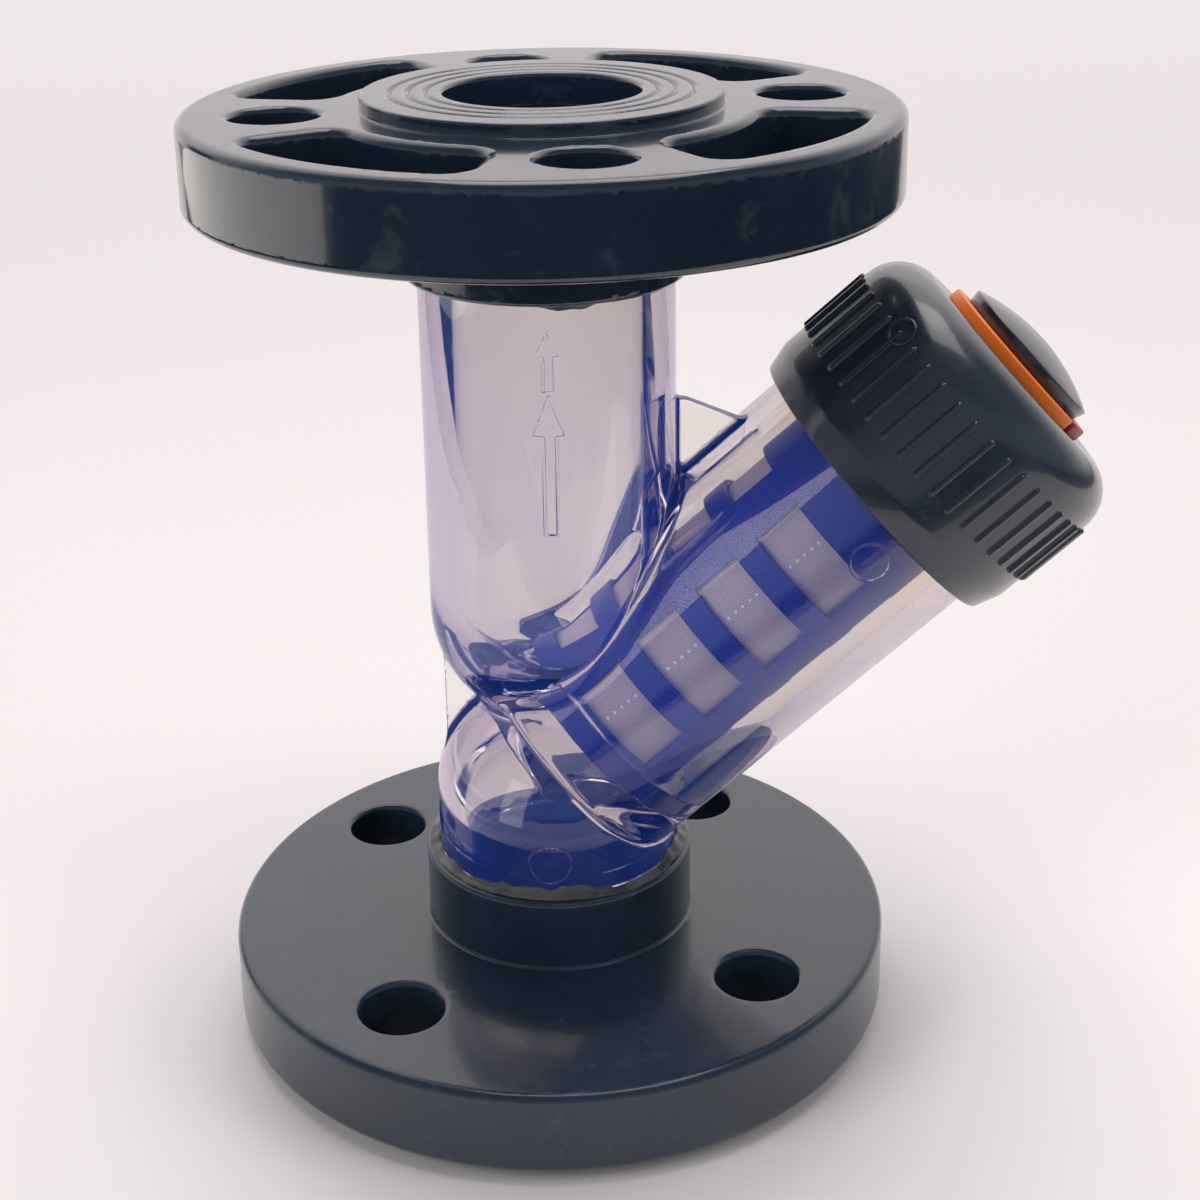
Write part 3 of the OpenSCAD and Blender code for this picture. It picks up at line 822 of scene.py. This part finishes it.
def basket_rows():
    """Stations of the basket's rows of points, and whether each row of faces crosses the windows."""
    stations, in_window = [BASKET_LOW], []
    for row in range(4):
        low = WINDOW_FIRST + row * WINDOW_PITCH
        for end, flag in ((low, False), (low + WINDOW_LEN, True)):
            n = max(2, round((end - stations[-1]) / 2.4))
            stations += list(np.linspace(stations[-1], end, n + 1)[1:])
            in_window += [flag] * n
    n = 12
    stations += list(np.linspace(stations[-1], BASKET_TOP, n + 1)[1:])
    return stations, in_window + [False] * n


def basket():
    """Tube with four columns of four windows, made as an inner and an outer skin joined at the edges."""
    window_columns, bar_columns = 16, 7
    window = np.linspace(-WINDOW_ANGLE / 2, WINDOW_ANGLE / 2, window_columns + 1)[:-1]
    bar = np.linspace(WINDOW_ANGLE / 2, math.pi / 2 - WINDOW_ANGLE / 2, bar_columns + 1)[:-1]
    quarter = np.concatenate([window, bar]) + WINDOW_TURN
    angles = np.concatenate([quarter + k * math.pi / 2 for k in range(4)])
    in_window_column = np.tile(np.array([True] * window_columns + [False] * bar_columns), 4)
    stations, in_window_row = basket_rows()
    layers = []
    for r in (BASKET_R, BASKET_R - BASKET_WALL):
        a, s = np.meshgrid(angles, stations)
        layers.append(np.stack([r * np.cos(a), r * np.sin(a), s], -1).reshape(-1, 3))
    points = np.concatenate(layers)
    solid = ~np.outer(in_window_row, in_window_column).reshape(-1)
    skin = grid_faces(len(stations), len(angles))[solid]
    count = len(stations) * len(angles)
    borders = [(a, b) for quad in skin for a, b in zip(quad, np.roll(quad, -1))]
    present = set(borders)
    walls = np.array([(b, a, a + count, b + count) for a, b in borders if (b, a) not in present])
    faces = np.concatenate([skin, skin[:, ::-1] + count, walls])
    obj = make_piece("basket_moulding", on_branch(points), faces, blue, "cartridge",
                     "basket_frame")
    bevel = obj.modifiers.new("edges", "BEVEL")
    bevel.width = BASKET_EDGE * MM
    bevel.segments = 2
    bevel.limit_method = "ANGLE"
    bevel.angle_limit = math.radians(40)
    bevel.harden_normals = True


def mesh_cloth():
    """Thin sleeve inside the basket; its weave is in its material."""
    outline = np.array([(MESH_R, s) for s in np.linspace(MESH_LOW, MESH_TOP, 12)] +
                       [(MESH_R - MESH_T, s) for s in np.linspace(MESH_TOP, MESH_LOW, 12)])
    points, faces = turned(outline, 96)
    obj = make_piece("mesh_cloth", on_branch(points), faces, wire, "cartridge", "mesh_sleeve")
    crisp_edges(obj)


def crisp_edges(obj, angle=40):
    """Marks edges sharper than an angle, so that smooth shading stops there."""
    work = bmesh.new()
    work.from_mesh(obj.data)
    for edge in work.edges:
        edge.smooth = edge.calc_face_angle(0.0) < math.radians(angle)
    work.to_mesh(obj.data)
    work.free()


def smooth_step(t):
    t = np.clip(t, 0, 1)
    return t * t * (3 - 2 * t)


def nut_outline():
    """Closed outline (radius, station) of the nut without its ribs and thread."""
    ends = np.array([-0.5, -0.2, 0.05, 0.3, 0.6, 1.0, 1.6])
    middle = np.linspace(RIB_S + 4, RIB_S + RIB_LEN - 4, 4)
    along = np.concatenate([RIB_S + ends, middle, RIB_S + RIB_LEN - ends[::-1]])
    grip = [(NUT_GRIP_R, s) for s in along]
    skirt = rounded([(NUT_MAJOR_R, NUT_S + 3, 0), (NUT_MAJOR_R, NUT_S, 0.5), (NUT_RIM_R, NUT_S, 0.6),
                     (NUT_GRIP_R, NUT_S + 6.0, 6.0), (NUT_GRIP_R, RIB_S - 0.6, 0)])[:-1]
    t = np.radians(np.linspace(2, 90, 17))
    in_r = NUT_GRIP_R - NUT_SHOULDER_R
    shoulder = np.stack([in_r + NUT_SHOULDER_R * np.cos(t), NUT_SHOULDER_S + NUT_SHOULDER_R * np.sin(t)], 1)
    top = rounded([(in_r, NUT_SHOULDER_S + NUT_SHOULDER_R, 0), (NUT_FLAT_R, NUT_FACE_S, 0),
                   (NUT_OPEN_R, NUT_FACE_S, 0.6), (NUT_OPEN_R, NUT_WALL_S, 0.3),
                   (NUT_MAJOR_R, NUT_WALL_S, 0.4), (NUT_MAJOR_R, NUT_THREAD_S, 0)])[1:]
    thread = [(NUT_MAJOR_R, s) for s in np.arange(NUT_THREAD_S - 0.4, THREAD_FROM + 0.4, -0.45)]
    return subdivided(np.concatenate([skirt, grip, shoulder, top, thread]), 6.0)


def union_nut():
    """Nut with 45 grip ribs outside and a helical ridge inside, both pushed out of one turned grid."""
    across = np.array([-1.9, -1.1, -0.78, -0.6, -0.46, -0.28, 0.0, 0.28, 0.46, 0.6, 0.78, 1.1, 1.9])
    ribs = [RIB_PHASE + k * 2 * math.pi / RIBS + across / NUT_GRIP_R for k in range(RIBS)]
    angles = np.concatenate(ribs)
    local = np.tile(across, RIBS)
    outline = nut_outline()
    r = np.repeat(outline[:, :1], len(angles), axis=1)
    s = np.repeat(outline[:, 1:], len(angles), axis=1)
    beyond = np.maximum(np.abs(s - RIB_S - RIB_LEN / 2) - RIB_LEN / 2 + RIB_HALF, 0)
    out = np.hypot(local, beyond) - RIB_HALF
    on_grip = (np.abs(outline[:, :1] - NUT_GRIP_R) < 1e-6) & (outline[:, 1:] > RIB_S - 2)
    r = r + np.where(on_grip, RIB_PROUD * smooth_step((0.12 - out) / 0.24), 0)
    turn = angles / (2 * math.pi) % 1.0
    first = THREAD_FROM + PITCH / 2
    lap = np.clip(np.round((s - first) / PITCH - turn), 0, np.floor(TURNS - turn))
    off = np.abs(s - first - PITCH * (turn + lap))
    in_thread = (np.abs(outline[:, :1] - NUT_MAJOR_R) < 1e-6) & (outline[:, 1:] < NUT_THREAD_S + 0.2)
    r = r - np.where(in_thread, (NUT_MAJOR_R - NUT_MINOR_R) * smooth_step((1.15 - off) / 0.75), 0)
    points = np.stack([r * np.cos(angles), r * np.sin(angles), s], -1).reshape(-1, 3)
    faces = grid_faces(len(outline), len(angles), True)
    mark_points, mark_faces = nut_mark()
    make_piece("union_nut_moulding", on_branch(np.concatenate([points, mark_points])),
               np.concatenate([faces, mark_faces + len(points)]), nut_pvc, "nut", "union_nut")


def nut_mark():
    """Low round moulding mark at the start of the nut's shoulder, sunk into its surface."""
    columns = 48
    profile = [(0.0, 0.2), (0.7, 0.3), (1.2, 0.05), (2.0, 0.25), (2.5, 0.05), (2.75, 0.55), (3.15, 0.55),
               (3.35, -0.4), (0.0, -0.4)]
    angle = np.arange(columns) * 2 * math.pi / columns
    rows = []
    for rho, rise in profile:
        s = NUT_MARK_S + rho * np.cos(angle)
        past = np.maximum(s - NUT_SHOULDER_S, 0)
        r = NUT_GRIP_R - NUT_SHOULDER_R + np.sqrt(NUT_SHOULDER_R ** 2 - past ** 2) + rise
        a = NUT_MARK_TURN + rho * np.sin(angle) / NUT_GRIP_R
        rows.append(np.stack([r * np.cos(a), r * np.sin(a), s], 1))
    return np.concatenate(rows), grid_faces(len(rows), columns)


def bonnet():
    """Plug with a skirt, a seal groove, a collar under the nut, a neck for the ring and a domed head."""
    top = BRANCH_END + 0.05
    neck_top = RING_S + RING_T + 0.05
    rim_s = neck_top + 2.8
    t = np.linspace(0, 1, 16)
    dome = np.stack([HEAD_R * (1 - t), rim_s + (HEAD_TOP_S - rim_s) * (1 - (1 - t) ** 2)], 1)
    hollow = [(0, HOLLOW_TOP_S, 0), (HOLLOW_R, HOLLOW_TOP_S, 0.5), (HOLLOW_R, top - 2, 0.5)]
    skirt = [(SKIRT_BORE_R, top - 2, 1.0), (SKIRT_BORE_R, SKIRT_LOW, 0.4), (SKIRT_R, SKIRT_LOW, 1.2)]
    seal_groove = [(SKIRT_R, SEAL_GROOVE[0], 0.3), (SEAL_GROOVE_R, SEAL_GROOVE[0], 0.3),
                   (SEAL_GROOVE_R, SEAL_GROOVE[1], 0.3), (SKIRT_R, SEAL_GROOVE[1], 0.3)]
    collar = [(SKIRT_R, top, 0.4), (COLLAR_R, top, 0.4), (COLLAR_R, top + COLLAR_T, 0.4)]
    neck = [(NECK_R, top + COLLAR_T, 0.5), (NECK_R, RING_S - 0.1, 0.3), (RING_SEAT_R, RING_S - 0.1, 0.3),
            (RING_SEAT_R, neck_top, 0.4), (HEAD_R, rim_s, 0.45), (HEAD_R - 1.7, rim_s + 0.7, 0)]
    outline = rounded(hollow + skirt + seal_groove + collar + neck, 4)
    outline = subdivided(np.concatenate([outline[:-1], dome[2:]]), 3.0)
    points, faces = turned(outline, 144, closed=False)
    make_piece("bonnet_moulding", on_branch(points), faces, nut_pvc, "cartridge", "bonnet")


def split_ring():
    """Ring in the bonnet's neck, with a narrow split and slightly rounded ends."""
    section = rounded([(RING_IN_R, RING_S, 0.4), (RING_OUT_R, RING_S, 0.5),
                       (RING_OUT_R, RING_S + RING_T, 0.5), (RING_IN_R, RING_S + RING_T, 0.4)])
    half_gap = math.asin(RING_GAP_HALF / 19)
    start = RING_GAP_TURN + half_gap
    angles = np.linspace(start, start + 2 * math.pi - 2 * half_gap, 120)
    middle = section.mean(0)
    smaller = middle + (section - middle) * 0.86
    sections = [smaller] + [section] * len(angles) + [smaller]
    angles = np.concatenate([[angles[0] - 0.012], angles, [angles[-1] + 0.012]])
    points = np.concatenate([np.stack([q[:, 0] * math.cos(a), q[:, 0] * math.sin(a), q[:, 1]], 1)
                             for q, a in zip(sections, angles)])
    n = len(section)
    faces = [tuple(f) for f in grid_faces(len(angles), n)]
    faces.append(tuple(range(n)))
    faces.append(tuple(range(len(points) - n, len(points))))
    make_piece("retaining_ring", on_branch(points), faces, orange, "cartridge", "split_ring")


def cement_beads():
    """Uneven smears of squeezed-out cement in the corner between the tube and each hub's rim."""
    random = np.random.default_rng(4)
    columns = 360
    angle = np.arange(columns) * 2 * math.pi / columns
    profile = ((0.02, 0.02), (1.0, 0.02), (0.97, 0.22), (0.75, 0.34), (0.45, 0.5), (0.25, 0.72),
               (0.15, 0.92), (0.05, 1.0), (0.02, 0.98))
    for name, node, z, up, tall, spread in (
            ("inlet_cement_smear", "inlet_cement_bead", FLANGE_H, 1, 3.2, 2.0),
            ("outlet_cement_smear", "outlet_cement_bead", FACE_TO_FACE - FLANGE_H, -1, 1.2, 1.6)):
        wave = np.zeros(columns)
        reach = np.zeros(columns)
        for k in range(2, 44):
            wave += random.normal() / k ** 0.9 * np.cos(k * angle + random.uniform(0, 6.28))
            reach += random.normal() / k ** 0.9 * np.cos(k * angle + random.uniform(0, 6.28))
        height = tall * (0.55 + 0.45 * np.clip(wave, -0.9, 2.6))
        width = spread + 0.35 * np.clip(reach, -1.5, 1.5)
        rows = []
        for out, rise in profile:
            r = RUN_R + 0.03 + out * width
            h = rise * np.maximum(height, 0.35)
            rows.append(np.stack([r * np.cos(angle), r * np.sin(angle), z + up * (h + 0.03)], 1))
        points = np.concatenate(rows)
        faces = grid_faces(len(rows), columns, True)
        make_piece(name, points, faces, cement, "root", node)


clear_body()
flanges()
basket()
mesh_cloth()
union_nut()
bonnet()
split_ring()
cement_beads()

for node, material in (("bonnet_o_ring", rubber), ("mesh_seam_welds", weld_steel)):
    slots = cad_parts[node].data.materials
    slots.clear()
    slots.append(material)


# ---------------------------------------------------------------- studio

PALE = (0.88, 0.82, 0.82, 1.0)


def mix_shader(tree, factor, a, b):
    return add(tree, "ShaderNodeMixShader", {0: factor, 1: a, 2: b}).outputs[0]


def floor_material(name, unseen=None):
    """Pale table top, fading into the backdrop far away; only the camera sees it if `unseen` is given."""
    mat, tree, out = new_material(name)
    p = object_point(tree)
    back = remap(tree, add(tree, "ShaderNodeSeparateXYZ", {0: p}).outputs["Y"], 0.1, 1.3, 0.0, 1.0)
    near = mix_color(tree, noise(tree, p, 3.0), (0.78, 0.745, 0.735, 1.0), (0.81, 0.77, 0.76, 1.0))
    base = mix_color(tree, back, near, (0.85, 0.80, 0.795, 1.0))
    top = add(tree, "ShaderNodeBsdfPrincipled", {"Base Color": base, "Roughness": 0.55}).outputs[0]
    away = add(tree, "ShaderNodeVectorMath", {0: p}, operation="LENGTH").outputs["Value"]
    haze = add(tree, "ShaderNodeEmission", {"Color": PALE, "Strength": 1.0}).outputs[0]
    look = mix_shader(tree, remap(tree, away, 0.7, 1.8, 0.0, 1.0), top, haze)
    seen = add(tree, "ShaderNodeLightPath").outputs["Is Camera Ray"]
    other = unseen(tree) if unseen else top
    tree.links.new(mix_shader(tree, seen, other, look), out.inputs["Surface"])
    return mat


def floor():
    """Table top, carried on all round for the camera alone, and a card that is bright in reflections."""
    def nothing(tree):
        return add(tree, "ShaderNodeBsdfTransparent").outputs[0]

    def glow(tree):
        return add(tree, "ShaderNodeEmission", {"Color": (1.0, 0.95, 0.90, 1.0), "Strength": 1.5}).outputs[0]

    table = [(-0.36, 0.0), (-0.2, -0.26), (0.42, -0.26), (0.52, 0.6), (1.1, 2.8), (-1.1, 2.8), (-0.42, 0.34)]
    card = [(-1.8, -0.7), (-0.60, -0.278), (-0.60, 0.3), (-0.56, 0.8), (-1.8, 1.5)]
    around = [(-6, -6), (6, -6), (6, 6), (-6, 6)]
    mesh = bpy.data.meshes.new("studio_floor")
    points, polygons = [], []
    for outline, z in ((table, 0.0), (card, 0.0), (around, -0.0005)):
        polygons.append(tuple(range(len(points), len(points) + len(outline))))
        points += [(x, y, z) for x, y in outline]
    mesh.from_pydata(points, [], polygons)
    for material in (floor_material("table_top"), floor_material("bright_card", glow),
                     floor_material("table_beyond", nothing)):
        mesh.materials.append(material)
    for i, polygon in enumerate(mesh.polygons):
        polygon.material_index = i
    obj = bpy.data.objects.new("studio_floor", mesh)
    scene.collection.objects.link(obj)


def studio_light():
    """A pale backdrop behind the object and a dimmer room before it; the camera itself sees only pale."""
    world = bpy.data.worlds.new("studio")
    world.use_nodes = True
    tree = world.node_tree
    tree.nodes.clear()
    out = add(tree, "ShaderNodeOutputWorld")
    d = add(tree, "ShaderNodeSeparateXYZ", {0: add(tree, "ShaderNodeTexCoord").outputs["Generated"]}).outputs
    turn = math_node(tree, "ARCTAN2", d["X"], d["Y"])
    away = math_node(tree, "ABSOLUTE", turn)
    high = remap(tree, d["Z"], 0.25, 0.5, 0.0, 1.0)
    backdrop = mix_color(tree, high, (0.93, 0.86, 0.86, 1.0), (1.3, 1.24, 1.24, 1.0))
    room = mix_color(tree, high, (0.30, 0.33, 0.40, 1.0), (0.14, 0.15, 0.18, 1.0))
    sky = mix_color(tree, remap(tree, away, 0.8, 1.5, 0.0, 1.0), backdrop, room)
    gap = math_node(tree, "MULTIPLY", remap(tree, turn, -1.16, -1.04, 0.0, 1.0),
                    remap(tree, turn, -0.80, -0.70, 1.0, 0.0))
    gap = math_node(tree, "MULTIPLY", gap, remap(tree, d["Z"], 0.1, 0.25, 1.0, 0.0))
    sky = mix_color(tree, gap, sky, (0.02, 0.03, 0.05, 1.0))
    sky = mix_color(tree, remap(tree, d["Z"], -0.2, -0.12, 0.0, 1.0), (0.012, 0.018, 0.028, 1.0), sky)
    seen = add(tree, "ShaderNodeLightPath").outputs["Is Camera Ray"]
    back = add(tree, "ShaderNodeBackground", {"Color": mix_color(tree, seen, sky, PALE), "Strength": 1.0})
    tree.links.new(back.outputs[0], out.inputs["Surface"])
    scene.world = world


def softbox(name, place, aim, size, power, color=(1.0, 0.97, 0.95), mirrored=True):
    """A lamp that surfaces can mirror, or one that only adds light."""
    data = bpy.data.lights.new(name, "AREA")
    data.shape = "RECTANGLE"
    data.size, data.size_y = size
    data.energy = power
    data.color = color
    lamp = bpy.data.objects.new(name, data)
    lamp.visible_glossy = mirrored
    lamp.location = place
    lamp.rotation_euler = (Vector(aim) - Vector(place)).to_track_quat("-Z", "Y").to_euler()
    scene.collection.objects.link(lamp)


def camera():
    """A slightly high viewpoint from the front, with a vertical shift."""
    place = Vector((0.0, -0.4238, 0.2868))
    pitch, yaw, roll = 0.324, 0.026, 0.0144
    ahead = Vector((math.sin(yaw) * math.cos(pitch), math.cos(yaw) * math.cos(pitch), -math.sin(pitch)))
    right = Vector((math.cos(yaw), -math.sin(yaw), 0))
    down = ahead.cross(right)
    x = math.cos(roll) * right + math.sin(roll) * down
    y = math.sin(roll) * right - math.cos(roll) * down
    data = bpy.data.cameras.new("camera")
    data.sensor_width = 36
    data.lens = 61.9
    data.shift_y = -1 / 6
    cam = bpy.data.objects.new("camera", data)
    cam.matrix_world = Matrix(((x.x, y.x, -ahead.x, place.x), (x.y, y.y, -ahead.y, place.y),
                               (x.z, y.z, -ahead.z, place.z), (0, 0, 0, 1)))
    scene.collection.objects.link(cam)
    scene.camera = cam


floor()
studio_light()
softbox("window_left", (-0.75, -0.55, 0.45), (0, 0, 0.14), (0.5, 0.8), 5.0, mirrored=False)
softbox("window_right", (0.8, -0.35, 0.5), (0, 0, 0.14), (0.4, 0.7), 3.0, mirrored=False)
softbox("overhead", (0.1, 0.1, 1.2), (0, 0.1, 0.1), (0.8, 0.8), 5.0)
softbox("backdrop", (0.0, 1.9, 1.6), (0, 1.7, 0), (2.0, 1.5), 10.0, mirrored=False)
camera()
scene.view_settings.view_transform = "Standard"
